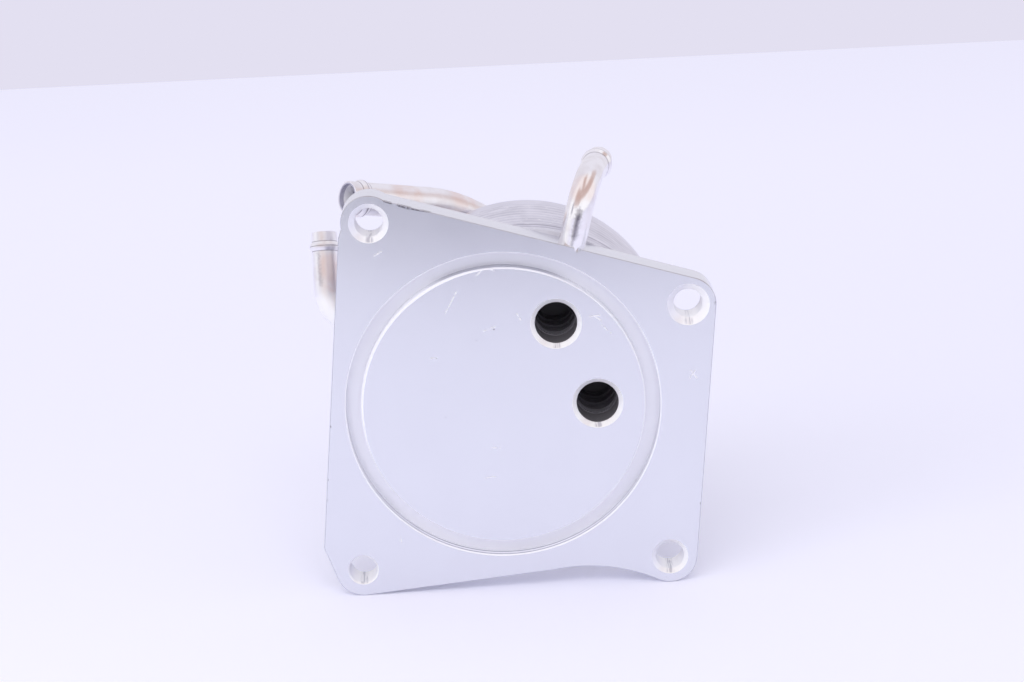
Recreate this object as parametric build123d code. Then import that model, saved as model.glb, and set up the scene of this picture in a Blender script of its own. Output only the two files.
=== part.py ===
from build123d import *
import math
import os

# Stacked-plate oil cooler with a bolted flange, two oil ports and three hose pipes.
# Millimetres. The mounting face is the plane Y = 0 and faces -Y, Z is up, and the
# origin is the centre of the turned disk on that face. The core stands behind it, at +Y.
# A place on the flange is given as (X, Z).

# Flange plate
PLATE_THICKNESS = 10.0
LOBE_RADIUS = 8.1
EDGE_BREAK = 0.2
HOLE_RADIUS = 4.2
HOLE_TOP_LEFT = (-36.3, 56.5)
HOLE_TOP_RIGHT = (55.0, 28.3)
HOLE_LOW_RIGHT = (47.6, -48.9)
HOLE_LOW_LEFT = (-43.9, -48.9)
COUNTERSINKS = {
    HOLE_TOP_LEFT: 1.6,
    HOLE_TOP_RIGHT: 2.0,
    HOLE_LOW_RIGHT: 1.2,
    HOLE_LOW_LEFT: 0.4,
}
TOP_EDGE_START = (-31.5, 63.0)
EAR_NOTCH = (-45.2, 52.6)
EAR_SIDE = (-43.9, 56.0)
LEFT_EDGE_FOOT = (-55.1, -41.6)
FOOT_ANGLE = 199.6
BOTTOM_EDGE_ANGLE = 275.6
BOTTOM_EDGE_END = (13.5, -51.5)
ARCH_CENTRE = (21.5, -101.0)

# Ring groove, turned disk and oil ports on the mounting face
GROOVE_OUTER_RADIUS = 46.1
GROOVE_INNER_RADIUS = 41.75
GROOVE_DEPTH = 4.0
GROOVE_BREAK = 0.35
PORT_RADIUS = 6.2
PORT_CHAMFER = 1.3
OIL_PORTS = [(16.4, 24.3), (27.7, -0.3)]
CORE_OIL_RADIUS = 6.0

# Core of nested dished plates
CORE_CENTRE = (7.8, 8.8)
CORE_RADIUS = 43.0
SHEET = 0.8
PITCH = 3.4
DISH_HEIGHT = 5.0
PLATE_COUNT = 8
BOSS_WALL = 1.6
CORE_DEPTH = 35.0
COVER_SHEET = 1.6

# Corrugated fin sheets in the oil channels
FIN_SHEET = 0.25
FIN_WAVES = 9
FIN_LENGTH = 38.0
FIN_WIDTH = 24.0
FIN_CENTRE = (6.5, -6.0)

# Hose pipes
SMALL_PIPE = 4.0
LARGE_PIPE = 5.0
PIPE_WALL = 0.9
BEAD_HEIGHT = 0.65
BEAD_LENGTH = 3.0
BEAD_CREST = 0.8
BEAD_FROM_END = 4.5

# Pipe in the flange's top edge, and the drilling that joins it to the core
EDGE_PIPE_ROOT = (22.0, 4.6, 46.8)
EDGE_PIPE_CORNER = (26.5, 4.6, 64.9)
EDGE_PIPE_END = (31.5, 27.4, 66.7)
EDGE_PIPE_BEND = 12.0
EDGE_PIPE_SEAT = 2.2
EDGE_DRILL_DEPTH = 4.4
CROSS_DRILL_RADIUS = 2.0
CROSS_DRILL_DEPTH = 3.3
BREAKOUT = (23.5, 46.2)
BREAKOUT_RADIUS = 1.0

# Pipes on the end cover, each from its open end to the block that it enters
UPPER_PIPE_END = (-43.8, 30.0, 58.1)
UPPER_PIPE_CORNER = (-9.7, 54.0, 48.8)
UPPER_PIPE_BEND = 35.0
UPPER_BLOCK = (6.8, 54.0, 34.5)
SIDE_PIPE_END = (-53.7, 60.9, 40.8)
SIDE_PIPE_CORNER = (-53.4, 50.9, 13.3)
SIDE_PIPE_BEND = 12.0
SIDE_BLOCK = (-12.0, 50.9, 13.3)
BLOCK_SIZE = 16.0
BLOCK_CORNER = 3.0
SOCKET_DEPTH = 3.0

CUT_OVER = 1.0
RIM_ANGLE = math.asin(SHEET / PITCH)
RIM_SLOPE = math.tan(RIM_ANGLE)
DISH_FLOOR_RADIUS = CORE_RADIUS - DISH_HEIGHT * RIM_SLOPE
COVER_BASE = PLATE_THICKNESS + PLATE_COUNT * PITCH
COVER_FLOOR = COVER_BASE + COVER_SHEET
CORE_BACK = PLATE_THICKNESS + CORE_DEPTH
PIPE_BORES = [(UPPER_BLOCK, LARGE_PIPE - PIPE_WALL), (SIDE_BLOCK, SMALL_PIPE - PIPE_WALL)]


def turned(profile, place=(0.0, 0.0)):
    """Solid turned about an axis along Y. Profile points are (radius, depth)."""
    face = make_face(Polyline(*profile, close=True))
    return Pos(place[0], 0, place[1]) * revolve(face, Axis.Y)


def slab(sketch, start, end):
    """Sketch drawn in X and Z, made solid between two depths."""
    return extrude(Plane.XZ.offset(-start) * sketch, amount=start - end)


def drilled(place, radius, start, end):
    """Cutter for a round hole along Y."""
    return slab(Pos(*place) * Circle(radius), start, end)


def countersunk(place, radius, chamfer):
    """Cutter for a hole through the flange with a 45 degree chamfer at the face."""
    profile = [
        (0, -CUT_OVER),
        (radius + chamfer + CUT_OVER, -CUT_OVER),
        (radius, chamfer),
        (radius, PLATE_THICKNESS + CUT_OVER),
        (0, PLATE_THICKNESS + CUT_OVER),
    ]
    return turned(profile, place)


def rod(start, direction, radius, length):
    """Round bar from a point along a direction."""
    foot = (Align.CENTER, Align.CENTER, Align.MIN)
    return Plane(origin=start, z_dir=direction) * Cylinder(radius, length, align=foot)


def on_lobe(hole, degrees):
    """Point of a corner lobe's edge, by its angle from +X."""
    angle = math.radians(degrees)
    return (
        hole[0] + LOBE_RADIUS * math.cos(angle),
        hole[1] + LOBE_RADIUS * math.sin(angle),
    )


def facing(start, end):
    """Angle from +X of the line between two places on the flange."""
    return math.degrees(math.atan2(end[1] - start[1], end[0] - start[0]))


def plate_outline():
    """Flange face: four lobes round the bolt holes, joined by straight edges and an arch."""
    top_slope = facing(TOP_EDGE_START, on_lobe(HOLE_TOP_RIGHT, 73))
    right_slope = facing(HOLE_TOP_RIGHT, HOLE_LOW_RIGHT)
    towards_arch = facing(HOLE_LOW_RIGHT, ARCH_CENTRE)
    body = Polyline(
        TOP_EDGE_START,
        on_lobe(HOLE_TOP_RIGHT, top_slope + 90),
        on_lobe(HOLE_TOP_RIGHT, right_slope + 90),
        on_lobe(HOLE_LOW_RIGHT, right_slope + 90),
        on_lobe(HOLE_LOW_RIGHT, towards_arch),
        BOTTOM_EDGE_END,
        on_lobe(HOLE_LOW_LEFT, BOTTOM_EDGE_ANGLE),
        on_lobe(HOLE_LOW_LEFT, FOOT_ANGLE),
        LEFT_EDGE_FOOT,
        EAR_NOTCH,
        EAR_SIDE,
        close=True,
    )
    outline = make_face(body)
    for hole in COUNTERSINKS:
        outline += Pos(*hole) * Circle(LOBE_RADIUS)
    arch_radius = math.dist(ARCH_CENTRE, HOLE_LOW_RIGHT) - LOBE_RADIUS
    return outline - Pos(*ARCH_CENTRE) * Circle(arch_radius)


def ring_groove():
    """Cutter for the groove round the turned disk, with both edges broken."""
    reach = GROOVE_BREAK + CUT_OVER
    return turned(
        [
            (GROOVE_OUTER_RADIUS + reach, -CUT_OVER),
            (GROOVE_OUTER_RADIUS, GROOVE_BREAK),
            (GROOVE_OUTER_RADIUS, GROOVE_DEPTH),
            (GROOVE_INNER_RADIUS, GROOVE_DEPTH),
            (GROOVE_INNER_RADIUS, GROOVE_BREAK),
            (GROOVE_INNER_RADIUS - reach, -CUT_OVER),
        ]
    )


def edge_pipe_direction():
    return (Vector(*EDGE_PIPE_CORNER) - Vector(*EDGE_PIPE_ROOT)).normalized()


def cross_drill_place():
    """Place where the drilling from the back meets the one from the top edge."""
    point = Vector(*EDGE_PIPE_ROOT) - edge_pipe_direction() * CROSS_DRILL_DEPTH
    return (point.X, point.Z)


def edge_pipe_drillings():
    """Cutters in the flange: pipe socket, drilling below it, and way out to the core."""
    inward = -edge_pipe_direction()
    root = Vector(*EDGE_PIPE_ROOT)
    seat = root + inward * EDGE_PIPE_SEAT
    bore = SMALL_PIPE - PIPE_WALL
    socket = rod(seat, -inward, SMALL_PIPE, EDGE_PIPE_SEAT + 2 * SMALL_PIPE)
    below = rod(seat, inward, bore, EDGE_DRILL_DEPTH - EDGE_PIPE_SEAT)
    depth = EDGE_PIPE_ROOT[1]
    back = PLATE_THICKNESS + CUT_OVER
    cross = drilled(cross_drill_place(), CROSS_DRILL_RADIUS, depth, back)
    breakout = drilled(BREAKOUT, BREAKOUT_RADIUS, -CUT_OVER, CUT_OVER)
    return [socket, below, cross, breakout]


def flange_plate():
    plate = slab(plate_outline(), 0, PLATE_THICKNESS)
    front = plate.faces().sort_by(Axis.Y)[0]
    plate = chamfer(front.edges(), EDGE_BREAK)
    plate -= ring_groove()
    for hole, depth in COUNTERSINKS.items():
        plate -= countersunk(hole, HOLE_RADIUS, depth)
    for port in OIL_PORTS:
        plate -= countersunk(port, PORT_RADIUS, PORT_CHAMFER)
    for cutter in edge_pipe_drillings():
        plate -= cutter
    return plate


def dish(base):
    """One dished plate without holes: flat floor and a conical rim."""
    across = SHEET / math.cos(RIM_ANGLE)
    return turned(
        [
            (0, base),
            (DISH_FLOOR_RADIUS, base),
            (CORE_RADIUS, base + DISH_HEIGHT),
            (CORE_RADIUS - across, base + DISH_HEIGHT),
            (DISH_FLOOR_RADIUS + SHEET * RIM_SLOPE - across, base + SHEET),
            (0, base + SHEET),
        ],
        CORE_CENTRE,
    )


def plate_base(number):
    """Depth of the underside of a core plate, counted from 1 at the flange."""
    return PLATE_THICKNESS + (number - 1) * PITCH


def core_plate(number):
    """Dished plate with its port holes, and bosses round those that its channel bars.

    Odd channels carry oil and even ones coolant. The oil holes end at the last plate,
    and the coolant holes start at the third.
    """
    base = plate_base(number)
    oil = [(port, CORE_OIL_RADIUS) for port in OIL_PORTS]
    coolant = [((block[0], block[2]), radius) for block, radius in PIPE_BORES]
    through = []
    if number < PLATE_COUNT:
        through += oil
    if number > 2:
        through += coolant
    barred = coolant if number % 2 else oil
    plate = dish(base)
    for place, radius in barred:
        if (place, radius) in through:
            plate += drilled(place, radius + BOSS_WALL, base + SHEET, base + PITCH)
    for place, radius in through:
        plate -= drilled(place, radius, base, base + PITCH)
    if number == 1:
        plate -= drilled(cross_drill_place(), CROSS_DRILL_RADIUS, base, base + SHEET)
    return plate


def fin_sheet(number):
    """Square-wave sheet that fills the height of the channel behind a core plate."""
    low = plate_base(number) + SHEET
    high = plate_base(number + 1)
    step = FIN_LENGTH / (2 * FIN_WAVES)
    start = FIN_CENTRE[1] - FIN_LENGTH / 2
    over = [(low + FIN_SHEET, start - step)]
    under = [(low, start - step)]
    for wall in range(2 * FIN_WAVES):
        at = start + wall * step
        rising = wall % 2 == 0
        shift = -FIN_SHEET / 2 if rising else FIN_SHEET / 2
        top = [(low + FIN_SHEET, at + shift), (high, at + shift)]
        bottom = [(low, at - shift), (high - FIN_SHEET, at - shift)]
        over += top if rising else top[::-1]
        under += bottom if rising else bottom[::-1]
    over.append((low + FIN_SHEET, start + FIN_LENGTH))
    under.append((low, start + FIN_LENGTH))
    outline = make_face(Polyline(*over, *under[::-1], close=True))
    left = Plane.YZ.offset(FIN_CENTRE[0] - FIN_WIDTH / 2)
    return extrude(left * outline, amount=FIN_WIDTH)


def end_cover():
    """Last dished plate, thicker, with a straight rim that stands proud at the back."""
    cone_top = COVER_BASE + DISH_HEIGHT
    inner = CORE_RADIUS - COVER_SHEET
    cover = turned(
        [
            (0, COVER_BASE),
            (DISH_FLOOR_RADIUS, COVER_BASE),
            (CORE_RADIUS, cone_top),
            (CORE_RADIUS, CORE_BACK),
            (inner, CORE_BACK),
            (inner, cone_top),
            (inner - (cone_top - COVER_FLOOR) * RIM_SLOPE, COVER_FLOOR),
            (0, COVER_FLOOR),
        ],
        CORE_CENTRE,
    )
    for block, radius in PIPE_BORES:
        cover -= drilled((block[0], block[2]), radius, COVER_BASE, COVER_FLOOR)
    return cover


def bead(radius):
    """Rolled bead round a pipe along Z, centred on the origin."""
    half = BEAD_LENGTH / 2
    crest = BEAD_CREST / 2
    inside = radius - PIPE_WALL / 2
    profile = Polyline(
        (radius, -half),
        (radius + BEAD_HEIGHT, -crest),
        (radius + BEAD_HEIGHT, crest),
        (radius, half),
        (inside, half),
        (inside, -half),
        close=True,
    )
    return revolve(Plane.XZ * make_face(profile), Axis.Z)


def hose_pipe(root, corner, end, bend, radius):
    """Bent tube from its root to its open end, with a bead near the end."""
    path = FilletPolyline(root, corner, end, radius=bend)
    section = Circle(radius) - Circle(radius - PIPE_WALL)
    tube = sweep(Plane(origin=path @ 0, z_dir=path % 0) * section, path=path)
    outward = (Vector(*end) - Vector(*corner)).normalized()
    crest = Vector(*end) - outward * BEAD_FROM_END
    return tube + Plane(origin=crest, z_dir=outward) * bead(radius)


def edge_pipe():
    root = Vector(*EDGE_PIPE_ROOT) - edge_pipe_direction() * EDGE_PIPE_SEAT
    return hose_pipe(root, EDGE_PIPE_CORNER, EDGE_PIPE_END, EDGE_PIPE_BEND, SMALL_PIPE)


def towards_pipe(block, corner):
    return (Vector(*corner) - Vector(*block)).normalized()


def pipe_seat(block, corner):
    """Floor of the block's socket, where the pipe's root stands."""
    return Vector(*block) + towards_pipe(block, corner) * (BLOCK_SIZE / 2 - SOCKET_DEPTH)


def pipe_block(block, corner, pipe_radius):
    """Block on the end cover: a socket for the pipe, and a bore down to the core."""
    towards = towards_pipe(block, corner)
    place = (block[0], block[2])
    turn = facing((0, 0), (towards.X, towards.Z))
    square = Rot(0, 0, turn) * RectangleRounded(BLOCK_SIZE, BLOCK_SIZE, BLOCK_CORNER)
    body = slab(Pos(*place) * square, COVER_FLOOR, block[1] + BLOCK_SIZE / 2)
    bore = pipe_radius - PIPE_WALL
    body -= rod(pipe_seat(block, corner), towards, pipe_radius, BLOCK_SIZE)
    body -= rod(Vector(*block), towards, bore, BLOCK_SIZE)
    return body - drilled(place, bore, COVER_FLOOR, block[1])


def upper_pipe():
    seat = pipe_seat(UPPER_BLOCK, UPPER_PIPE_CORNER)
    return hose_pipe(seat, UPPER_PIPE_CORNER, UPPER_PIPE_END, UPPER_PIPE_BEND, LARGE_PIPE)


def side_pipe():
    seat = pipe_seat(SIDE_BLOCK, SIDE_PIPE_CORNER)
    return hose_pipe(seat, SIDE_PIPE_CORNER, SIDE_PIPE_END, SIDE_PIPE_BEND, SMALL_PIPE)


def pieces():
    """Every piece of the cooler, by its node's name."""
    made = {
        "flange_plate": flange_plate(),
        "end_cover": end_cover(),
        "edge_pipe": edge_pipe(),
        "upper_pipe": upper_pipe(),
        "side_pipe": side_pipe(),
        "upper_pipe_block": pipe_block(UPPER_BLOCK, UPPER_PIPE_CORNER, LARGE_PIPE),
        "side_pipe_block": pipe_block(SIDE_BLOCK, SIDE_PIPE_CORNER, SMALL_PIPE),
    }
    for number in range(1, PLATE_COUNT + 1):
        made[f"core_plate_{number}"] = core_plate(number)
        if number % 2:
            made[f"fin_sheet_{number}"] = fin_sheet(number)
    return made


os.makedirs("parts", exist_ok=True)
for name, solid in pieces().items():
    export_step(solid, f"parts/{name}.step")
    print(name, round(solid.volume))
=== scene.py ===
import math

import bpy
from mathutils import Euler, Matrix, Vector


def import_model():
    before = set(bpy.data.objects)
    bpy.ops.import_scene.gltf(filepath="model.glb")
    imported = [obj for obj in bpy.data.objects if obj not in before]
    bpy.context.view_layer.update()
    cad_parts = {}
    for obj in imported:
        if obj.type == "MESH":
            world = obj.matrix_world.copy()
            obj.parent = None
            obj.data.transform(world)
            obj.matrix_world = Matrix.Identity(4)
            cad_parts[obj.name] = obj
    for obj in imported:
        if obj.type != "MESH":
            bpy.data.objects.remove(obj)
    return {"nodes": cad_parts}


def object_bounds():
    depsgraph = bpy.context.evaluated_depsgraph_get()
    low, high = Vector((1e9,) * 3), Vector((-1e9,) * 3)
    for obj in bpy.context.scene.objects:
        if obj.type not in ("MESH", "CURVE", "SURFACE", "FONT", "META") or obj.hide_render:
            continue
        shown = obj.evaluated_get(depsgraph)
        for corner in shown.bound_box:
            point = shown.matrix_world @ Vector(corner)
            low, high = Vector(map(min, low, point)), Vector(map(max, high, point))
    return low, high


# Looks for the oil cooler. Everything is in metres, in the frame of the CAD: the
# mounting face is the plane Y = 0 and faces -Y, Z is up, and the origin is the centre
# of the turned disk. A place on the mounting face is written (X, Z).

MM = 0.001

# Camera, fitted to the photograph's hole centres and circles
CAMERA_PLACE = (0.00366, -0.70125, 0.21122)
CAMERA_TURN = (74.710, 2.477, -0.655)
LENS = 87.89
SENSOR = 36.0

# Sizes and places on the flange, as in the CAD
PLATE = 10 * MM
DISK_RADIUS = 41.75 * MM
GROOVE_RADIUS = 46.1 * MM
GROOVE_DEPTH = 4.0 * MM
GROOVE_BREAK = 0.35 * MM
HOLE_RADIUS = 4.2 * MM
# Bolt holes, each with the depth of its countersink
COUNTERSINKS = {
    (-36.3 * MM, 56.5 * MM): 1.6 * MM,
    (55.0 * MM, 28.3 * MM): 2.0 * MM,
    (47.6 * MM, -48.9 * MM): 1.2 * MM,
    (-43.9 * MM, -48.9 * MM): 0.4 * MM,
}
OIL_PORTS = [(16.4 * MM, 24.3 * MM), (27.7 * MM, -0.3 * MM)]
PORT_RADIUS = 6.2 * MM
PORT_CHAMFER = 1.3 * MM
# Every hole with a chamfer: its radius and the chamfer's depth
SINKS = {hole: (HOLE_RADIUS, depth) for hole, depth in COUNTERSINKS.items()}
SINKS.update({port: (PORT_RADIUS, PORT_CHAMFER) for port in OIL_PORTS})

# Table: far edge behind the cooler, its slope, and the reach to the sides and the front
FAR_EDGE = 0.996
FAR_EDGE_SLOPE = 0.026
TABLE_REACH = 3.0
TABLE_COLOUR = (0.885, 0.880, 0.985)
TABLE_ROUGHNESS = 0.6
# Glow of its near and far part, and the depths between which it grows
TABLE_GLOW = 0.12
FAR_GLOW = 0.20
GLOW_DEPTHS = (0.05, 0.70)
# Shade of its nearest part, the depths between which it fades, and the size of the
# patches that make the fade uneven and how far they move it
NEAR_SHADE = 0.94
NEAR_DEPTHS = (-0.22, 0.0)
NEAR_PATCHES = 0.4
NEAR_UNEVEN = 0.06

# Room, as the camera, matt surfaces and metal see it
WALL_COLOUR = (0.770, 0.745, 0.880)
ROOM_LIGHT = (0.69, 0.68, 0.745)
ROOM_SHINE = (1.03, 1.02, 1.06)
ROOM_BACK = (0.84, 0.82, 0.90)
ROOM_WARM = (0.66, 0.53, 0.51)
ROOM_DARK = (0.36, 0.345, 0.43)
# Directions in the room. A turn is in radians from straight ahead (-Y) towards +X. A
# width, a depth and a height are the X, Y and Z of a unit vector
WARM_TURNS = (-1.1, 2.0)
WARM_SOFT = 0.2
SILL_TURNS = (-0.22, -0.06)
SILL_HEIGHTS = (0.37, 0.54)
SILL_SOFT = 0.07
CEILING_HEIGHTS = (0.80, 0.90)
CEILING_STRIP = 0.14
STRIP_SOFT = 0.05
GAP_TURNS = (-1.2, -1.0)
GAP_HEIGHTS = (0.14, 0.44)
GAP_SOFT = 0.06
BACK_DEPTHS = (-0.1, 0.3)

# Lamps: place, point that they face, size across and up, and power in watts
LAMPS = {
    "key": ((-0.95, -0.85, 0.75), (0.0, 0.0, 0.0), (0.6, 0.6), 2.9),
    "fill": ((-0.05, -0.85, 0.90), (0.0, -0.1, -0.06), (0.9, 0.5), 3.9),
}

# Cards that only metal mirrors: place, point that they face, size and colour
CARD_DIM = (0.70, 0.69, 0.76)
CARD_DARK = (0.28, 0.27, 0.34)
CARDS = {
    "dim_card": ((0.03, -0.46, 0.0), (0.03, 0.0, 0.0), (0.44, 0.12), CARD_DIM),
    "dark_card": ((0.02, -0.45, 0.0), (0.02, 0.0, 0.0), (0.18, 0.11), CARD_DARK),
    "high_card": ((0.03, -0.74, 0.245), (0.03, 0.0, 0.245), (0.20, 0.08), CARD_DIM),
}


def shader(name):
    """New material and its nodes, which start as one Principled shader and the output."""
    material = bpy.data.materials.new(name)
    material.use_nodes = True
    return material, Nodes(material.node_tree)


class Nodes:
    """Short way to add and join a tree's nodes. A mask is a value from 0 to 1."""

    def __init__(self, tree):
        self.tree = tree

    @property
    def principled(self):
        return self.tree.nodes["Principled BSDF"]

    def add(self, kind, **settings):
        node = self.tree.nodes.new(kind)
        for key, value in settings.items():
            setattr(node, key, value)
        return node

    def join(self, source, target):
        if isinstance(source, bpy.types.NodeSocket):
            self.tree.links.new(source, target)
        else:
            target.default_value = source

    def math(self, operation, first, second=0.0, third=0.0):
        node = self.add("ShaderNodeMath", operation=operation)
        for value, socket in zip((first, second, third), node.inputs):
            self.join(value, socket)
        return node.outputs[0]

    def vector(self, operation, first, second=(0.0, 0.0, 0.0), out=0):
        node = self.add("ShaderNodeVectorMath", operation=operation)
        self.join(first, node.inputs[0])
        self.join(second, node.inputs[1])
        return node.outputs[out]

    def distance(self, first, second):
        return self.vector("DISTANCE", first, second, out=1)

    def place(self, scale=(1.0, 1.0, 1.0)):
        """Position in the frame of the CAD, in metres, stretched by scale."""
        return self.vector("MULTIPLY", self.add("ShaderNodeTexCoord").outputs["Object"], scale)

    def along(self, axis):
        """Position along one axis of the frame; Y is the depth behind the mounting face."""
        parts = self.add("ShaderNodeSeparateXYZ")
        self.join(self.place(), parts.inputs[0])
        return parts.outputs[axis]

    def on_face(self):
        """Position with its depth taken away, so that marks are found by place alone."""
        return self.place((1.0, 0.0, 1.0))

    def from_axis(self, centre=(0.0, 0.0)):
        """Distance from an axis along Y through a place on the mounting face."""
        moved = self.vector("SUBTRACT", self.on_face(), (centre[0], 0.0, centre[1]))
        return self.vector("LENGTH", moved, out=1)

    def from_line(self, place, start, end):
        """Distance of a place from the line between two places, given in millimetres."""
        start = Vector(start) * MM
        along = Vector(end) * MM - start
        reach = self.vector("SUBTRACT", place, tuple(start))
        share = self.vector("DOT_PRODUCT", reach, tuple(along / along.length_squared), out=1)
        nearest = self.add("ShaderNodeVectorMath", operation="SCALE")
        nearest.inputs[0].default_value = tuple(along)
        self.join(self.ramp(share, 0.0, 1.0, smooth=False), nearest.inputs["Scale"])
        return self.distance(reach, nearest.outputs[0])

    def noise(self, size, detail=2.0, stretch=(1.0, 1.0, 1.0)):
        """Noise from 0 to 1 with features of about this size in metres."""
        node = self.add("ShaderNodeTexNoise")
        self.join(self.place(stretch), node.inputs["Vector"])
        node.inputs["Scale"].default_value = 1.0 / size
        node.inputs["Detail"].default_value = detail
        return node.outputs["Fac"]

    def ramp(self, value, low, high, start=0.0, end=1.0, smooth=True):
        """Value mapped from low..high to start..end, held outside."""
        node = self.add("ShaderNodeMapRange", clamp=True)
        if smooth:
            node.interpolation_type = "SMOOTHSTEP"
        for number, socket in zip((value, low, high, start, end), node.inputs):
            self.join(number, socket)
        return node.outputs[0]

    def fall(self, value, low, high):
        """1 below low, 0 above high."""
        return self.ramp(value, low, high, 1.0, 0.0)

    def band(self, value, low, high, soft):
        """1 between two values, 0 outside, with soft sides."""
        rising = self.ramp(value, low - soft, low + soft)
        return self.both(rising, self.fall(value, high - soft, high + soft))

    def both(self, first, second):
        """Product of two masks, or of a mask and its strength."""
        return self.math("MULTIPLY", first, second)

    def unlike(self, mask):
        """1 where the mask is 0, and 0 where it is 1."""
        return self.math("SUBTRACT", 1.0, mask)

    def any_of(self, masks):
        """The largest of several masks."""
        shade = 0.0
        for mask in masks:
            shade = self.math("MAXIMUM", shade, mask)
        return shade

    def more(self, value, share, start):
        """Value times its share, added to a start."""
        return self.math("MULTIPLY_ADD", value, share, start)

    def mix(self, share, first, second):
        """Colour between two colours."""
        node = self.add("ShaderNodeMix", data_type="RGBA")
        self.join(share, node.inputs[0])
        self.join(opaque(first), node.inputs[6])
        self.join(opaque(second), node.inputs[7])
        return node.outputs[2]

    def bump(self, height, distance, strength, under=None):
        """Normal for a height from 0 to 1 that stands this far, in metres."""
        node = self.add("ShaderNodeBump")
        node.inputs["Strength"].default_value = strength
        node.inputs["Distance"].default_value = distance
        self.join(height, node.inputs["Height"])
        if under is not None:
            self.join(under, node.inputs["Normal"])
        return node.outputs[0]

    def metal(self, colour, roughness, normal, metallic=1.0, anisotropy=0.0):
        """Join colour, roughness and relief to the Principled shader, as metal."""
        inputs = self.principled.inputs
        self.join(colour, inputs["Base Color"])
        self.join(roughness, inputs["Roughness"])
        self.join(normal, inputs["Normal"])
        self.join(metallic, inputs["Metallic"])
        inputs["Anisotropic"].default_value = anisotropy


def opaque(colour):
    """Colour with its alpha, where it is a plain colour and not a socket."""
    if isinstance(colour, tuple) and len(colour) == 3:
        return (*colour, 1.0)
    return colour


def facing(place):
    """Point of the mounting face at a place on it."""
    return (place[0], 0.0, place[1])


# Flange: milled plate with a lathe-turned disk, and painted shade on the oil ports' walls
FLANGE_LIGHT = (0.83, 0.845, 0.885)
FLANGE_DULL = (0.78, 0.79, 0.835)
PORT_SHADE = (0.30, 0.285, 0.31)
# Brighter colour of the turned cuts, also used for the painted highlights on the disk's rim and
# the groove's bottom
CUT_BRIGHT = (0.95, 0.95, 0.99)
SINK_HIGHLIGHT = (1.0, 1.0, 1.0)
SINK_SHADE = (0.86, 0.86, 0.93)
WALL_SHADE = (0.34, 0.34, 0.42)
EDGE_SHADE = (0.52, 0.52, 0.58)
SCRATCH_LIGHT = (0.97, 0.97, 0.98)
MARK_DARK = (0.24, 0.23, 0.26)
# Roughness where it is clean, and what blotches, scratches and fresh cuts add
FLANGE_ROUGHNESS = 0.20
BLOTCH_ROUGHNESS = 0.05
SCRATCH_ROUGHNESS = 0.30
CUT_ROUGHNESS = 0.14
# How much less metallic the matt cuts are
WALL_MATT = 0.8
SINK_MATT = 0.5
BED_MATT = 0.8
# Share of the brighter cut colour on the groove's floor away from its bottom, where the full
# share is a painted highlight
BED_AWAY_SHARE = 0.5
# Shares of blotches and streaks in the tone
BLOTCH_SHARE = 0.7
STREAK_SHARE = 0.3
# Sizes of the unevenness
BLOTCH_SIZE = 14 * MM
STREAK_SIZE = 1.5 * MM
STREAK_STRETCH = (1.0, 1.0, 0.06)
GRAIN_SIZE = 0.9 * MM
TURNED_PITCH = 0.30 * MM
# How far it stands, and how strongly it shows
TURNED_RELIEF = (0.002 * MM, 0.5)
STREAK_RELIEF = (0.008 * MM, 0.4)
GRAIN_RELIEF = (0.005 * MM, 0.5)
SCRATCH_RELIEF = (0.05 * MM, 0.8)
# How strongly lines and marks colour the metal
WALL_LINE_SHARE = 0.8
LOW_MARK_SHARE = 0.6
# Size of the noise that breaks up marks, its values between which they begin, and how
# much of them stays everywhere
SCRATCH_TEAR = 0.8 * MM
SCRATCH_BREAKS = (0.38, 0.55)
NICK_TEAR = 0.5 * MM
NICK_BREAKS = (0.42, 0.52)
NICK_LEAST = 0.2
LOW_MARK_TEAR = 0.6 * MM
LOW_MARK_STRETCH = (1.0, 0.1, 0.1)
LOW_MARK_BREAKS = (0.46, 0.58)
LOW_MARK_LEAST = 0.25
# How softly a mask ends at a turned edge
EDGE_SOFT = 0.03 * MM
# The painted highlight along the disk's rim: its direction from the centre, how far that way it
# widens, and its greatest width
RIM_HIGHLIGHT_TOWARDS = (-0.85, 0.0, 0.53)
RIM_HIGHLIGHT_SPAN = (0.55 * DISK_RADIUS, 0.90 * DISK_RADIUS)
RIM_HIGHLIGHT_WIDTH = 0.8 * MM
# Heights between which the disk's painted shade line begins, and between which the painted
# highlight on the groove's bottom ends
LINE_SPAN = (0.84 * DISK_RADIUS, 0.96 * DISK_RADIUS)
BOTTOM_SPAN = (-0.95 * DISK_RADIUS, -0.60 * DISK_RADIUS)
# The painted shade on a countersink's side: its direction from the hole, the distances that way
# between which it begins, and how far from the hole the mask ends
SINK_SHADE_TOWARDS = (-0.95, 0.0, 0.3)
SINK_SHADE_SPAN = (-1 * MM, 5 * MM)
SINK_REACH = (8 * MM, 9 * MM)
# Depths behind the mounting face where masks begin or end, and how softly. The edge
# line is the thin dark line behind every edge of the mounting face
PORT_SHADE_DEPTHS = (1.2 * MM, 1.9 * MM)
SCRATCH_DEPTHS = (0.25 * MM, 0.40 * MM)
NICK_DEPTHS = (0.8 * MM, 1.2 * MM)
LOW_MARK_DEPTHS = (0.1 * MM, 0.2 * MM)
EDGE_LINE = (0.02 * MM, 0.19 * MM)
DISK_LINE = (0.9 * MM, 1.2 * MM)
WALL_LINES = [(0.50 * MM, 1.2 * MM), (2.4 * MM, 3.2 * MM)]
WALL_LINE_SOFT = 0.08 * MM
EDGE_LINE_SOFT = 0.01 * MM
SINK_DEPTHS = (0.96 * PLATE, 0.98 * PLATE)
BED_DEPTHS = (0.9 * GROOVE_DEPTH, 1.1 * GROOVE_DEPTH)
BED_DEPTH_SOFT = 0.1 * MM
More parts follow.
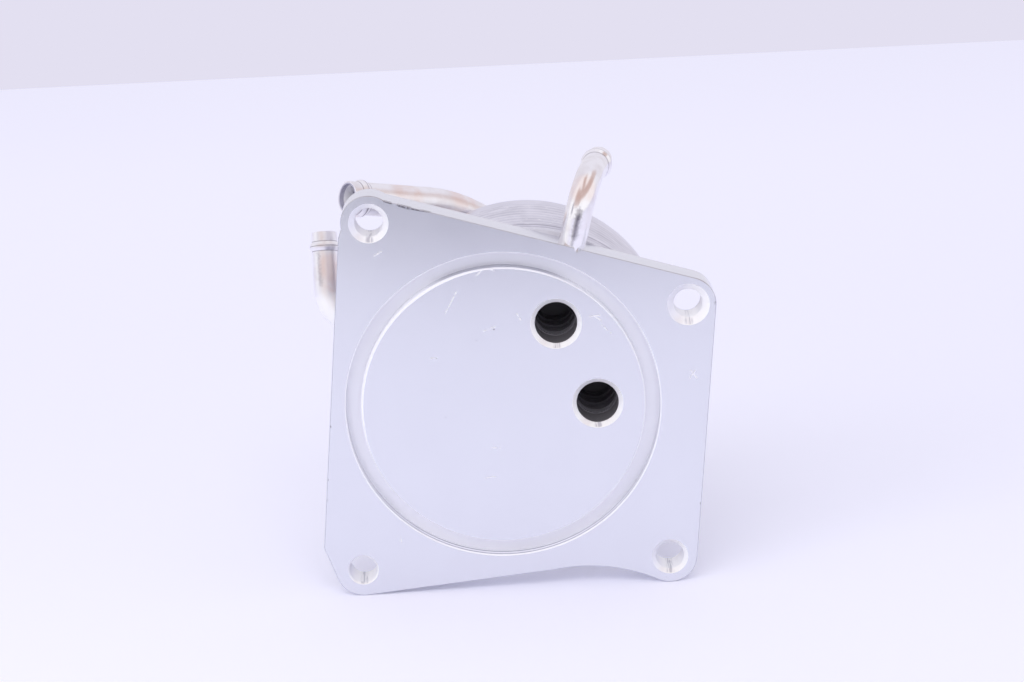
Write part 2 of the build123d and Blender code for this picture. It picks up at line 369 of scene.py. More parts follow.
# Distances over which masks fade out, and their margins to an edge
PORT_SHADE_FADE = 0.4 * MM
SCRATCH_FADE = (0.10 * MM, 0.28 * MM)
LOW_MARK_FADE = (0.5 * MM, 1.6 * MM)
BED_MARGIN = 0.06 * MM
BED_SOFT = 0.02 * MM
DISK_FADE = 0.1 * MM
PORT_SHADE_MARGIN = 0.1 * MM
# Full dark middle of a burr or nick, as a share of its half width or radius
BURR_MIDDLE = 0.5
NICK_MIDDLE = 0.4

# Scratches on the mounting face, each from one place to another, in millimetres
SCRATCHES = [
    ((-12.1, 35.0), (-15.4, 29.1)),
    ((-35.1, 46.9), (-32.9, 48.1)),
    ((-6.0, 39.8), (-4.5, 41.0)),
    ((-2.3, 41.7), (-0.9, 40.9)),
    ((5.1, 28.0), (6.2, 25.9)),
    ((-4.6, 23.1), (-1.4, 24.2)),
    ((-20.7, 15.6), (-18.8, 15.5)),
    ((28.0, 25.8), (29.7, 24.5)),
    ((29.7, 23.3), (32.2, 20.8)),
    ((26.3, 26.0), (29.2, 26.2)),
    ((54.9, 6.2), (56.4, 8.3)),
    ((55.2, 8.4), (56.9, 6.0)),
    ((-3.6, -12.6), (-1.5, -12.7)),
    ((-6.1, -21.8), (-3.1, -21.5)),
    ((-32.2, -39.4), (-32.0, -40.6)),
]
# Torn burrs on the top edge, each from one place to another and its half width, in
# millimetres
BURRS = [
    ((-31.4, 62.8), (-29.4, 62.1), 0.35),
    ((-27.4, 61.5), (-24.2, 60.4), 0.60),
    ((-24.2, 60.3), (-18.4, 59.0), 0.30),
]
# Dark nicks and pits, each a place and a radius, in millimetres
NICKS = [
    ((-51.2, -3.9), 0.7),
    ((-52.3, -8.9), 0.5),
    ((-53.0, -20.2), 0.7),
    ((-53.5, -26.5), 0.6),
    ((-54.2, -31.0), 0.5),
    ((63.0, 28.4), 0.7),
    ((58.6, -22.9), 0.8),
    ((57.4, -32.7), 0.7),
    ((23.3, 47.3), 0.9),
    ((31.8, 44.9), 0.7),
    ((-1.7, 23.4), 0.3),
    ((-6.9, 20.3), 0.3),
    ((-17.0, -2.6), 0.25),
    ((41.5, 7.6), 0.5),
]


def port_walls(nodes, reach):
    """1 within reach of the oil ports' axes and deeper than their chamfers, where the ports'
    shade is painted; 0 elsewhere.
    """
    inside = nodes.ramp(nodes.along("Y"), *PORT_SHADE_DEPTHS)
    near = [nodes.fall(nodes.from_axis(port), reach, reach + PORT_SHADE_FADE) for port in OIL_PORTS]
    return nodes.both(nodes.any_of(near), inside)


def scratches(nodes):
    """1 along the scratches, broken up, 0 elsewhere."""
    near = []
    for start, end in SCRATCHES:
        away = nodes.from_line(nodes.on_face(), facing(start), facing(end))
        near.append(nodes.fall(away, *SCRATCH_FADE))
    broken = nodes.ramp(nodes.noise(SCRATCH_TEAR), *SCRATCH_BREAKS)
    skin = nodes.fall(nodes.along("Y"), *SCRATCH_DEPTHS)
    return nodes.both(nodes.both(nodes.any_of(near), broken), skin)


def nicks(nodes):
    """1 in the burrs, nicks and pits, broken up, 0 elsewhere."""
    flat = nodes.on_face()
    near = []
    for start, end, width in BURRS:
        away = nodes.from_line(flat, facing(start), facing(end))
        near.append(nodes.fall(away, BURR_MIDDLE * width * MM, width * MM))
    for centre, radius in NICKS:
        away = nodes.distance(flat, tuple(Vector(facing(centre)) * MM))
        near.append(nodes.fall(away, NICK_MIDDLE * radius * MM, radius * MM))
    broken = nodes.ramp(nodes.noise(NICK_TEAR), *NICK_BREAKS, NICK_LEAST, 1.0)
    skin = nodes.fall(nodes.along("Y"), *NICK_DEPTHS)
    return nodes.both(nodes.both(nodes.any_of(near), skin), broken)


def groove_edges(nodes):
    """1 on the groove's chamfers and walls, whose turned cuts scatter more light, and on a
    painted highlight along the disk's rim, widest at the upper left."""
    radius = nodes.from_axis()
    # Painted highlight along the disk's rim, widest at the upper left
    towards = nodes.vector("DOT_PRODUCT", nodes.place(), RIM_HIGHLIGHT_TOWARDS, out=1)
    width = nodes.ramp(towards, *RIM_HIGHLIGHT_SPAN, GROOVE_BREAK, RIM_HIGHLIGHT_WIDTH)
    inward = nodes.math("SUBTRACT", DISK_RADIUS, radius)
    rim = nodes.fall(nodes.math("SUBTRACT", inward, width), 0.0, EDGE_SOFT)
    inner = nodes.both(nodes.fall(radius, DISK_RADIUS, DISK_RADIUS + EDGE_SOFT), rim)
    low, high = GROOVE_RADIUS - EDGE_SOFT, GROOVE_RADIUS + GROOVE_BREAK
    outer = nodes.band(radius, low, high, EDGE_SOFT / 2)
    front = nodes.fall(nodes.along("Y"), GROOVE_DEPTH - EDGE_SOFT, GROOVE_DEPTH)
    return nodes.both(nodes.any_of([inner, outer]), front)


def groove_lines(nodes):
    """1 on the painted shade lines of the groove: the top of the disk's wall, and two thin
    lines round the outer wall."""
    radius, depth = nodes.from_axis(), nodes.along("Y")
    soft = EDGE_SOFT / 2
    top = nodes.ramp(nodes.along("Z"), *LINE_SPAN)
    inner = nodes.band(radius, DISK_RADIUS - EDGE_SOFT, DISK_RADIUS + EDGE_SOFT, soft)
    outer = nodes.band(radius, GROOVE_RADIUS - EDGE_SOFT, GROOVE_RADIUS + EDGE_SOFT, soft)
    lines = [nodes.both(nodes.both(inner, top), nodes.ramp(depth, *DISK_LINE))]
    for low, high in WALL_LINES:
        lines.append(nodes.both(outer, nodes.band(depth, low, high, WALL_LINE_SOFT)))
    return nodes.any_of(lines)


def groove_bed(nodes):
    """1 on the groove's floor, 0 elsewhere."""
    low, high = DISK_RADIUS + BED_MARGIN, GROOVE_RADIUS - BED_MARGIN
    ring = nodes.band(nodes.from_axis(), low, high, BED_SOFT)
    return nodes.both(ring, nodes.band(nodes.along("Y"), *BED_DEPTHS, BED_DEPTH_SOFT))


def sink_cuts(nodes):
    """1 on the countersinks and the oil ports' chamfers, 0 elsewhere."""
    near = []
    for hole, (radius, chamfer) in SINKS.items():
        reach = radius + chamfer
        near.append(nodes.fall(nodes.from_axis(hole), reach, reach + EDGE_SOFT))
    front = nodes.fall(nodes.along("Y"), *SINK_DEPTHS)
    return nodes.both(nodes.any_of(near), front)


def sink_shade_sides(nodes):
    """1 on the left of every countersink, where shade is painted; 0 on its right, which gets a
    painted highlight, and everywhere else.
    """
    sides = []
    for hole in COUNTERSINKS:
        reach = nodes.vector("SUBTRACT", nodes.on_face(), facing(hole))
        towards = nodes.vector("DOT_PRODUCT", reach, SINK_SHADE_TOWARDS, out=1)
        near = nodes.fall(nodes.vector("LENGTH", reach, out=1), *SINK_REACH)
        sides.append(nodes.both(near, nodes.ramp(towards, *SINK_SHADE_SPAN)))
    return nodes.any_of(sides)


def low_sink_marks(nodes):
    """1 on short dark marks low on each countersink and port, 0 elsewhere."""
    near = []
    for (across, up), (radius, chamfer) in SINKS.items():
        low = facing((across, up - radius - chamfer / 2))
        near.append(nodes.fall(nodes.distance(nodes.on_face(), low), *LOW_MARK_FADE))
    lines = nodes.noise(LOW_MARK_TEAR, 1.0, LOW_MARK_STRETCH)
    lines = nodes.ramp(lines, *LOW_MARK_BREAKS, LOW_MARK_LEAST, 1.0)
    start = nodes.ramp(nodes.along("Y"), *LOW_MARK_DEPTHS)
    return nodes.both(nodes.both(nodes.any_of(near), lines), start)


def turned_rings(nodes):
    """Height of the lathe's fine rings on the disk."""
    radius = nodes.from_axis()
    waves = nodes.math("MULTIPLY", radius, 2 * math.pi / TURNED_PITCH)
    waves = nodes.math("SINE", waves)
    disk = nodes.fall(radius, DISK_RADIUS, DISK_RADIUS + DISK_FADE)
    return nodes.both(nodes.more(waves, 0.5, 0.5), disk)


def flange_metal():
    material, nodes = shader("machined_aluminium_look")
    blotches = nodes.noise(BLOTCH_SIZE, 3.0)
    streaks = nodes.noise(STREAK_SIZE, 2.0, STREAK_STRETCH)
    scratched, bed = scratches(nodes), groove_bed(nodes)
    ring, sink = groove_edges(nodes), sink_cuts(nodes)
    cut = nodes.any_of([ring, sink])
    line = nodes.band(nodes.along("Y"), *EDGE_LINE, EDGE_LINE_SOFT)
    line = nodes.both(line, nodes.unlike(cut))
    # Brighter cut colour on the groove's floor, which becomes a full painted highlight at its
    # bottom
    bed_finish_and_highlight = nodes.both(bed, nodes.ramp(nodes.along("Z"), *BOTTOM_SPAN, 1.0, BED_AWAY_SHARE))

    tone = nodes.more(blotches, BLOTCH_SHARE, nodes.both(streaks, STREAK_SHARE))
    colour = nodes.mix(tone, FLANGE_DULL, FLANGE_LIGHT)
    colour = nodes.mix(scratched, colour, SCRATCH_LIGHT)
    colour = nodes.mix(nicks(nodes), colour, MARK_DARK)
    colour = nodes.mix(cut, colour, CUT_BRIGHT)
    # Painted shade on the left of each countersink, and a painted highlight on its right and on
    # the port chamfers
    colour = nodes.mix(sink, colour, nodes.mix(sink_shade_sides(nodes), SINK_HIGHLIGHT, SINK_SHADE))
    colour = nodes.mix(nodes.both(groove_lines(nodes), WALL_LINE_SHARE), colour, WALL_SHADE)
    marks = nodes.both(low_sink_marks(nodes), cut)
    colour = nodes.mix(nodes.both(marks, LOW_MARK_SHARE), colour, WALL_SHADE)
    colour = nodes.mix(line, colour, EDGE_SHADE)
    # Painted shade on the oil ports' walls
    colour = nodes.mix(port_walls(nodes, PORT_RADIUS + PORT_SHADE_MARGIN), colour, PORT_SHADE)
    colour = nodes.mix(bed_finish_and_highlight, colour, CUT_BRIGHT)

    roughness = nodes.more(blotches, BLOTCH_ROUGHNESS, FLANGE_ROUGHNESS)
    roughness = nodes.more(scratched, SCRATCH_ROUGHNESS, roughness)
    roughness = nodes.more(nodes.any_of([cut, line]), CUT_ROUGHNESS, roughness)
    roughness = nodes.more(bed, CUT_ROUGHNESS, roughness)

    metallic = nodes.more(sink, -SINK_MATT, nodes.more(bed_finish_and_highlight, -BED_MATT, 1.0))
    metallic = nodes.both(metallic, nodes.ramp(ring, 0.0, 1.0, 1.0, 1.0 - WALL_MATT))

    normal = nodes.bump(turned_rings(nodes), *TURNED_RELIEF)
    normal = nodes.bump(streaks, *STREAK_RELIEF, normal)
    normal = nodes.bump(nodes.noise(GRAIN_SIZE), *GRAIN_RELIEF, normal)
    normal = nodes.bump(scratched, *SCRATCH_RELIEF, normal)
    nodes.metal(colour, roughness, normal, metallic)
    return material


# Core: satin brazed sheet, with a painted highlight line and two painted shade lines along
# every rim, and painted shade round the oil ways
CORE_LIGHT = (0.82, 0.815, 0.88)
CORE_DULL = (0.71, 0.705, 0.77)
CORE_LINE_AND_SHADE = (0.34, 0.33, 0.39)
CORE_FLECK_AND_HIGHLIGHT = (0.98, 0.98, 1.0)
CORE_PORT_SHADE = (0.26, 0.25, 0.28)
CORE_SHADE_REACH = PORT_RADIUS + 1.5 * MM
CORE_ROUGHNESS = 0.40
GRAIN_ROUGHNESS = 0.16
# Sizes of the unevenness, and for relief how far it stands and how strongly it shows
CORE_PATCHES = 6 * MM
CORE_GRAIN = 0.5 * MM
CORE_GRAIN_RELIEF = (0.012 * MM, 0.5)
DRAWN_SIZE = 2.0 * MM
DRAWN_STRETCH = (0.2, 9.0, 0.2)
DRAWN_RELIEF = (0.02 * MM, 0.5)
FLECK_SIZE = 0.9 * MM
FLECK_STRETCH = (0.5, 1.5, 0.5)
# Values of the noise between which patches, drawn lines and flecks begin
PATCH_BREAKS = (0.3, 0.7)
DRAWN_BREAKS = (0.56, 0.66)
FLECK_BREAKS = (0.68, 0.76)
# How strongly they and the rims' lines colour the metal
DRAWN_SHARE = 0.3
FLECK_SHARE = 0.9
DARK_SHARE = 0.85
LIGHT_SHARE = 0.5
# Rims: depth of the first, their pitch and number, and how far their lines wander
FIRST_RIM = 15 * MM
RIM_PITCH = 3.4 * MM
RIM_COUNT = 8
RIM_WANDER = 0.12
# Painted lines along a rim, a highlight at its edge and shade under it and in the gap behind
# it: from and to a share of the pitch, and how softly they end
EDGE_LIGHT = (0.84, 0.93, 0.03)
UNDER_DARK = (0.06, 0.12, 0.03)
GAP_DARK = (0.42, 0.54, 0.05)
# Foot of the core, which is more matt: the depths between which it ends, and how
# metallic it is
FOOT_DEPTHS = (PLATE + 0.3 * MM, PLATE + 0.6 * MM)
FOOT_METAL = 0.3


def core_metal():
    material, nodes = shader("core_plate_look")
    grain = nodes.noise(CORE_GRAIN, 3.0)
    drawn = nodes.noise(DRAWN_SIZE, 3.0, DRAWN_STRETCH)
    flecks = nodes.noise(FLECK_SIZE, 1.0, FLECK_STRETCH)
    depth = nodes.along("Y")
    port_shade = port_walls(nodes, CORE_SHADE_REACH)

    turns = nodes.math("DIVIDE", nodes.math("SUBTRACT", depth, FIRST_RIM), RIM_PITCH)
    turns = nodes.more(drawn, RIM_WANDER, turns)
    phase = nodes.math("FRACT", nodes.math("ADD", turns, RIM_COUNT))
    # Painted highlight at each rim's edge, and painted shade under it and in the gap behind it
    edge = nodes.band(phase, *EDGE_LIGHT)
    dark = nodes.any_of([nodes.band(phase, *UNDER_DARK), nodes.band(phase, *GAP_DARK)])

    patches = nodes.ramp(nodes.noise(CORE_PATCHES, 3.0), *PATCH_BREAKS)
    colour = nodes.mix(patches, CORE_DULL, CORE_LIGHT)
    colour = nodes.mix(nodes.ramp(drawn, *DRAWN_BREAKS, 0.0, DRAWN_SHARE), colour, CORE_LINE_AND_SHADE)
    colour = nodes.mix(nodes.both(dark, DARK_SHARE), colour, CORE_LINE_AND_SHADE)
    colour = nodes.mix(nodes.both(edge, LIGHT_SHARE), colour, CORE_FLECK_AND_HIGHLIGHT)
    colour = nodes.mix(nodes.ramp(flecks, *FLECK_BREAKS, 0.0, FLECK_SHARE), colour, CORE_FLECK_AND_HIGHLIGHT)
    # Painted shade round the oil ways
    colour = nodes.mix(port_shade, colour, CORE_PORT_SHADE)

    roughness = nodes.more(grain, GRAIN_ROUGHNESS, CORE_ROUGHNESS)
    foot = nodes.ramp(depth, *FOOT_DEPTHS, FOOT_METAL, 1.0)
    metallic = nodes.both(foot, nodes.unlike(port_shade))
    normal = nodes.bump(grain, *CORE_GRAIN_RELIEF)
    normal = nodes.bump(drawn, *DRAWN_RELIEF, normal)
    nodes.metal(colour, roughness, normal, metallic)
    return material


# Cover: smoother rolled sheet
COVER_DULL = (0.76, 0.755, 0.82)
COVER_ROUGHNESS = 0.34
ROLLED_ROUGHNESS = 0.14
COVER_PATCHES = 9 * MM
COVER_GRAIN_RELIEF = (0.008 * MM, 0.5)
ROLLED_SIZE = 1.2 * MM
ROLLED_STRETCH = (0.08, 1.0, 1.0)
ROLLED_RELIEF = (0.008 * MM, 0.4)


def cover_metal():
    material, nodes = shader("end_cover_look")
    grain = nodes.noise(CORE_GRAIN, 3.0)
    rolled = nodes.noise(ROLLED_SIZE, 3.0, ROLLED_STRETCH)
    patches = nodes.ramp(nodes.noise(COVER_PATCHES, 3.0), *PATCH_BREAKS)
    colour = nodes.mix(patches, COVER_DULL, CORE_LIGHT)
    roughness = nodes.more(rolled, ROLLED_ROUGHNESS, COVER_ROUGHNESS)
    normal = nodes.bump(grain, *COVER_GRAIN_RELIEF)
    normal = nodes.bump(rolled, *ROLLED_RELIEF, normal)
    nodes.metal(colour, roughness, normal)
    return material


# Pipes: polished tube, with painted shade inside its open end
PIPE_BRIGHT = (0.94, 0.93, 0.95)
PIPE_HAZE = (0.86, 0.83, 0.84)
PIPE_INSIDE_SHADE = (0.44, 0.43, 0.52)
# Dark colour of the painted dark reflections and of the painted shade lines round the bead
PIPE_PAINTED_DARK = (0.34, 0.32, 0.36)
PIPE_WARM_REFLECTION = (0.88, 0.77, 0.74)
BEND_HIGHLIGHT = (0.99, 0.99, 1.0)
# Open end, first corner behind it and radius of each pipe, in millimetres
PIPE_ENDS = {
    "edge_pipe": ((31.5, 27.4, 66.7), (26.5, 4.6, 64.9), 4.0),
    "upper_pipe": ((-43.8, 30.0, 58.1), (-9.7, 54.0, 48.8), 5.0),
    "side_pipe": ((-53.7, 60.9, 40.8), (-53.4, 50.9, 13.3), 4.0),
}
# Painted warm reflections on the pipes, each a place and a radius, in millimetres
PIPE_WARM_PATCHES = {
    "edge_pipe": [((25.6, 3.8, 63.4), 5.5)],
    "upper_pipe": [((-26.0, 38.0, 57.0), 7.0), ((-10.0, 50.0, 52.0), 6.0)],
    "side_pipe": [((-51.5, 54.0, 31.5), 5.5), ((-50.5, 51.5, 26.5), 4.0)],
}
# Painted dark reflection on a pipe: from one place to another and its half width, in
# millimetres, and its strength
PIPE_DARK_REFLECTIONS = {
    "edge_pipe": ((24.3, 0.8, 57.0), (22.7, 0.6, 50.0), 1.2, 0.7),
    "side_pipe": ((-55.7, 54.8, 35.5), (-55.0, 51.6, 26.5), 1.0, 0.35),
}
# Bend with a painted highlight, and more matt: a place and a radius, in millimetres
PIPE_BEND_HIGHLIGHTS = {"side_pipe": ((-54.5, 50.0, 16.5), 9.0)}
BEND_METAL = 0.4
# Roughness where the pipe is clean, and what haze and the mouth's inside add
PIPE_SHINE = {"edge_pipe": 0.14, "upper_pipe": 0.30, "side_pipe": 0.30}
HAZE_ROUGHNESS = 0.08
INSIDE_ROUGHNESS = 0.4
HAZE_SIZE = 5 * MM
HAZE_RELIEF = (0.12 * MM, 0.3)
PIPE_GRAIN = 0.4 * MM
PIPE_GRAIN_RELIEF = (0.008 * MM, 0.6)
# Values of the haze between which it shows, and between which the painted warm reflections
# begin
HAZE_BREAKS = (0.40, 0.75)
WARM_PATCH_BREAKS = (0.20, 0.55)
WARM_PATCH_SHARE = 0.85
# Full strength inside a painted warm reflection and a bend's painted highlight, as a share of
# the radius
WARM_PATCH_MIDDLE = 0.5
BEND_MIDDLE = 0.4
# The painted dark reflection's ragged edge: size and reach of its noise, and where it fades, as
# shares of the half width
STREAK_TEAR = 0.7 * MM
STREAK_WANDER = 1.8 * MM
STREAK_SPAN = (0.9, 2.1)
# Along the pipe from its end: how deep the painted shade in the mouth reaches, the bead's two
# sides, and the painted highlight of the ring rolled into the wall
PIPE_MOUTH = 12 * MM
MOUTH_FADE = 1 * MM
BEAD_SIDES = (3.0 * MM, 6.0 * MM)
BEAD_LINE = 0.12 * MM
BEAD_LINE_SOFT = 0.08 * MM
BEAD_SHARE = 0.8
RING_HIGHLIGHT = (1.4 * MM, 4.4 * MM)
RING_SOFT = 0.2 * MM
# How far inside the outer wall the inner wall's mask ends
INNER_WALL = (0.6 * MM, 0.4 * MM)


def open_end(nodes, end, corner, radius):
    """Masks near a pipe's open end: the inner wall, where shade is painted, the painted
    highlight of the ring rolled into it, and the painted shade lines on both sides of the bead
    and round its middle."""
    end = Vector(end) * MM
    inward = tuple((Vector(corner) * MM - end).normalized())
    reach = nodes.vector("SUBTRACT", nodes.place(), tuple(end))
    along = nodes.vector("DOT_PRODUCT", reach, inward, out=1)
    aside = nodes.vector("LENGTH", nodes.vector("CROSS_PRODUCT", reach, inward), out=1)
    inner = nodes.fall(aside, *(radius * MM - depth for depth in INNER_WALL))
    inside = nodes.both(inner, nodes.fall(along, PIPE_MOUTH, PIPE_MOUTH + MOUTH_FADE))
    ring = nodes.both(inside, nodes.band(along, *RING_HIGHLIGHT, RING_SOFT))
    front, back = BEAD_SIDES
    lines = []
    for side in (front, back, (front + back) / 2):
        lines.append(nodes.band(along, side - BEAD_LINE, side + BEAD_LINE, BEAD_LINE_SOFT))
    return inside, ring, nodes.both(nodes.any_of(lines), nodes.unlike(inner))


def pipe_metal(name):
    material, nodes = shader(name + "_look")
    haze = nodes.noise(HAZE_SIZE, 3.0)
    uneven = nodes.ramp(haze, *WARM_PATCH_BREAKS)
    inside, ring, lines = open_end(nodes, *PIPE_ENDS[name])

    colour = nodes.mix(nodes.ramp(haze, *HAZE_BREAKS), PIPE_BRIGHT, PIPE_HAZE)
    # Painted warm reflections of the room
    for centre, reach in PIPE_WARM_PATCHES[name]:
        away = nodes.distance(nodes.place(), tuple(Vector(centre) * MM))
        warm_patch = nodes.ramp(away, WARM_PATCH_MIDDLE * reach * MM, reach * MM, WARM_PATCH_SHARE, 0.0)
        colour = nodes.mix(nodes.both(warm_patch, uneven), colour, PIPE_WARM_REFLECTION)
    # Painted dark reflection
    if name in PIPE_DARK_REFLECTIONS:
        start, end, width, strength = PIPE_DARK_REFLECTIONS[name]
        away = nodes.from_line(nodes.place(), start, end)
        away = nodes.more(nodes.noise(STREAK_TEAR, 4.0), STREAK_WANDER, away)
        near, far = (share * width * MM for share in STREAK_SPAN)
        streak = nodes.ramp(away, near, far, strength, 0.0)
        colour = nodes.mix(streak, colour, PIPE_PAINTED_DARK)
    # Painted shade inside the mouth, and the painted highlight of its rolled ring
    colour = nodes.mix(inside, colour, PIPE_INSIDE_SHADE)
    colour = nodes.mix(ring, colour, PIPE_BRIGHT)
    # Painted shade lines round the bead
    colour = nodes.mix(nodes.both(lines, BEAD_SHARE), colour, PIPE_PAINTED_DARK)
    metallic = nodes.unlike(inside)
    # Painted highlight on the bend
    if name in PIPE_BEND_HIGHLIGHTS:
        centre, reach = PIPE_BEND_HIGHLIGHTS[name]
        away = nodes.distance(nodes.place(), tuple(Vector(centre) * MM))
        bend = nodes.fall(away, BEND_MIDDLE * reach * MM, reach * MM)
        colour = nodes.mix(bend, colour, BEND_HIGHLIGHT)
        metallic = nodes.both(metallic, nodes.ramp(bend, 0.0, 1.0, 1.0, BEND_METAL))

    roughness = nodes.more(haze, HAZE_ROUGHNESS, PIPE_SHINE[name])
    roughness = nodes.more(inside, INSIDE_ROUGHNESS, roughness)
    normal = nodes.bump(haze, *HAZE_RELIEF)
    normal = nodes.bump(nodes.noise(PIPE_GRAIN), *PIPE_GRAIN_RELIEF, normal)
    nodes.metal(colour, roughness, normal, metallic)
    return material


# Blocks: milled bar with tool marks
BLOCK_LIGHT = (0.74, 0.74, 0.79)
BLOCK_DULL = (0.60, 0.60, 0.65)
BLOCK_ROUGHNESS = 0.30
BLOCK_MARK_ROUGHNESS = 0.2
BLOCK_PATCHES = 4 * MM
BLOCK_MARKS = 0.7 * MM
BLOCK_STRETCH = (0.1, 1.0, 1.0)
BLOCK_RELIEF = (0.02 * MM, 0.5)
BLOCK_ANISOTROPY = 0.4


def block_metal():
    material, nodes = shader("block_aluminium_look")
    marks = nodes.noise(BLOCK_MARKS, 2.0, BLOCK_STRETCH)
    colour = nodes.mix(nodes.noise(BLOCK_PATCHES, 3.0), BLOCK_DULL, BLOCK_LIGHT)
    roughness = nodes.more(marks, BLOCK_MARK_ROUGHNESS, BLOCK_ROUGHNESS)
    normal = nodes.bump(marks, *BLOCK_RELIEF)
    nodes.metal(colour, roughness, normal, anisotropy=BLOCK_ANISOTROPY)
    return material


# Fin sheets: bright rolled foil
FIN_LIGHT = (0.78, 0.78, 0.82)
FIN_DULL = (0.62, 0.62, 0.66)
FIN_ROUGHNESS = 0.3
FIN_GRAIN = 0.8 * MM
FIN_STRETCH = (0.1, 1.0, 1.0)
FIN_RELIEF = (0.01 * MM, 0.5)


def fin_metal():
    material, nodes = shader("fin_foil_look")
    rolled = nodes.noise(FIN_GRAIN, 3.0, FIN_STRETCH)
    colour = nodes.mix(rolled, FIN_DULL, FIN_LIGHT)
    nodes.metal(colour, FIN_ROUGHNESS, nodes.bump(rolled, *FIN_RELIEF))
    return material


def dress(looks):
    """Give every CAD node the look of its kind, by the start of its name."""
    for name, node in frame["nodes"].items():
        kind = next(start for start in looks if name.startswith(start))
        node.data.materials.clear()
        node.data.materials.append(looks[kind])


def board(name, corners):
    """Object with one flat face."""
    mesh = bpy.data.meshes.new(name)
    mesh.from_pydata(corners, [], [(0, 1, 2, 3)])
    flat = bpy.data.objects.new(name, mesh)
    bpy.context.collection.objects.link(flat)
    return flat


def aimed(place, aim):
    """Rotation of a lamp or card at a place that faces a point."""
    return (Vector(aim) - Vector(place)).to_track_quat("-Z", "Y").to_euler()


def table():
    """Pale table top that ends behind the cooler; the wall beyond it is the world."""
    floor = min(corner[2] for corner in cad_box)
    tilt = FAR_EDGE_SLOPE * TABLE_REACH
    corners = [
        (-TABLE_REACH, -TABLE_REACH, floor),
        (TABLE_REACH, -TABLE_REACH, floor),
        (TABLE_REACH, FAR_EDGE + tilt, floor),
        (-TABLE_REACH, FAR_EDGE - tilt, floor),
    ]
    top = board("table_top", corners)
    material, nodes = shader("table_white")
    inputs = nodes.principled.inputs
    back = nodes.along("Y")
    shaded = tuple(NEAR_SHADE * part for part in TABLE_COLOUR)
    uneven = nodes.more(nodes.noise(NEAR_PATCHES), NEAR_UNEVEN, back)
    colour = nodes.mix(nodes.ramp(uneven, *NEAR_DEPTHS), shaded, TABLE_COLOUR)
    glow = nodes.ramp(back, *GLOW_DEPTHS, TABLE_GLOW, FAR_GLOW)
    nodes.join(colour, inputs["Base Color"])
    nodes.join(colour, inputs["Emission Color"])
    nodes.join(glow, inputs["Emission Strength"])
    inputs["Roughness"].default_value = TABLE_ROUGHNESS
    inputs["Specular IOR Level"].default_value = 0.0
    top.data.materials.append(material)


def world():
    """Soft white room. Metal also mirrors its warm upper walls, which end at the ceiling
    apart from a strip across it, and a dark gap at the left."""
    room = bpy.data.worlds.new("room")
    bpy.context.scene.world = room
    room.use_nodes = True
    nodes = Nodes(room.node_tree)
    parts = nodes.add("ShaderNodeSeparateXYZ")
    nodes.join(nodes.add("ShaderNodeTexCoord").outputs["Generated"], parts.inputs[0])
    across, back, up = parts.outputs
    turn = nodes.math("ARCTAN2", across, nodes.math("MULTIPLY", back, -1.0))

    sill = nodes.ramp(turn, *SILL_TURNS, *SILL_HEIGHTS)
    risen = nodes.ramp(nodes.math("SUBTRACT", up, sill), -SILL_SOFT, SILL_SOFT)
    strip = nodes.band(across, -CEILING_STRIP, CEILING_STRIP, STRIP_SOFT)
    below = nodes.any_of([nodes.fall(up, *CEILING_HEIGHTS), strip])
    warm = nodes.both(nodes.band(turn, *WARM_TURNS, WARM_SOFT), risen)
    warm = nodes.both(warm, below)
    dark = nodes.band(turn, *GAP_TURNS, GAP_SOFT)
    dark = nodes.both(dark, nodes.band(up, *GAP_HEIGHTS, GAP_SOFT))

    shine = nodes.mix(nodes.ramp(back, *BACK_DEPTHS), ROOM_SHINE, ROOM_BACK)
    shine = nodes.mix(warm, shine, ROOM_WARM)
    shine = nodes.mix(dark, shine, ROOM_DARK)
    path = nodes.add("ShaderNodeLightPath")
    colour = nodes.mix(path.outputs["Is Glossy Ray"], ROOM_LIGHT, shine)
    colour = nodes.mix(path.outputs["Is Camera Ray"], colour, WALL_COLOUR)
    wall = room.node_tree.nodes["Background"]
    nodes.join(colour, wall.inputs["Color"])
    wall.inputs["Strength"].default_value = 1.0


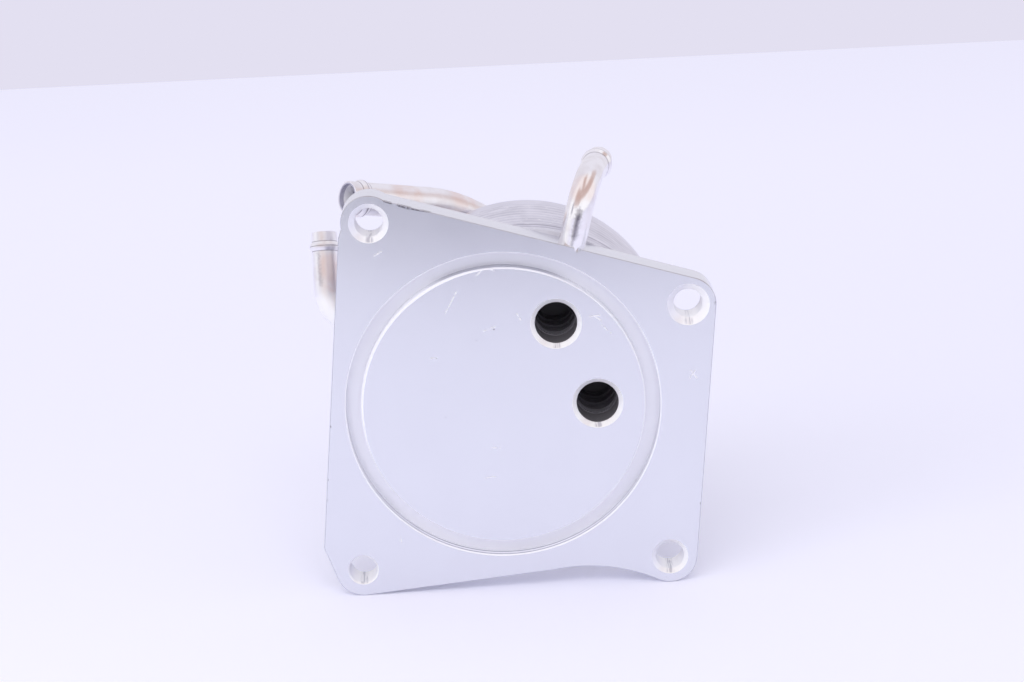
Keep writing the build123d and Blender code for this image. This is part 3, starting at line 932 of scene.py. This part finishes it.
def lamp(name, place, aim, size, power):
    """Soft white rectangular lamp that faces a point, and that metal doesn't mirror."""
    light = bpy.data.lights.new(name, "AREA")
    light.shape = "RECTANGLE"
    light.size, light.size_y = size
    light.energy = power
    lit = bpy.data.objects.new(name, light)
    bpy.context.collection.objects.link(lit)
    lit.location = place
    lit.rotation_euler = aimed(place, aim)
    lit.visible_glossy = False


def card(name, place, aim, size, colour):
    """Card that faces a point and shows only in the metal's reflections."""
    across, up = size[0] / 2, size[1] / 2
    flat = board(name, [(-across, -up, 0), (across, -up, 0), (across, up, 0), (-across, up, 0)])
    flat.location = place
    flat.rotation_euler = aimed(place, aim)
    material, nodes = shader(name)
    inputs = nodes.principled.inputs
    inputs["Emission Color"].default_value = opaque(colour)
    inputs["Emission Strength"].default_value = 1.0
    inputs["Base Color"].default_value = (0.0, 0.0, 0.0, 1.0)
    inputs["Specular IOR Level"].default_value = 0.0
    flat.data.materials.append(material)
    flat.visible_camera = False
    flat.visible_diffuse = False
    flat.visible_shadow = False


def camera():
    """Camera that sees the cooler as in the photograph."""
    lens = bpy.data.cameras.new("camera")
    lens.lens = LENS
    lens.sensor_width = SENSOR
    lens.clip_start = 0.01
    lens.clip_end = 20.0
    eye = bpy.data.objects.new("camera", lens)
    bpy.context.collection.objects.link(eye)
    eye.location = CAMERA_PLACE
    eye.rotation_euler = Euler([math.radians(turn) for turn in CAMERA_TURN], "XYZ")
    bpy.context.scene.camera = eye


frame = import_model()
cad_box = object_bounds()

camera()
world()
for name, setup in LAMPS.items():
    lamp(name, *setup)
for name, setup in CARDS.items():
    card(name, *setup)
table()
dress(
    {
        "flange_plate": flange_metal(),
        "core_plate": core_metal(),
        "end_cover": cover_metal(),
        "fin_sheet": fin_metal(),
        "upper_pipe_block": block_metal(),
        "side_pipe_block": block_metal(),
        "edge_pipe": pipe_metal("edge_pipe"),
        "upper_pipe": pipe_metal("upper_pipe"),
        "side_pipe": pipe_metal("side_pipe"),
    }
)

bpy.context.scene.view_settings.view_transform = "Standard"
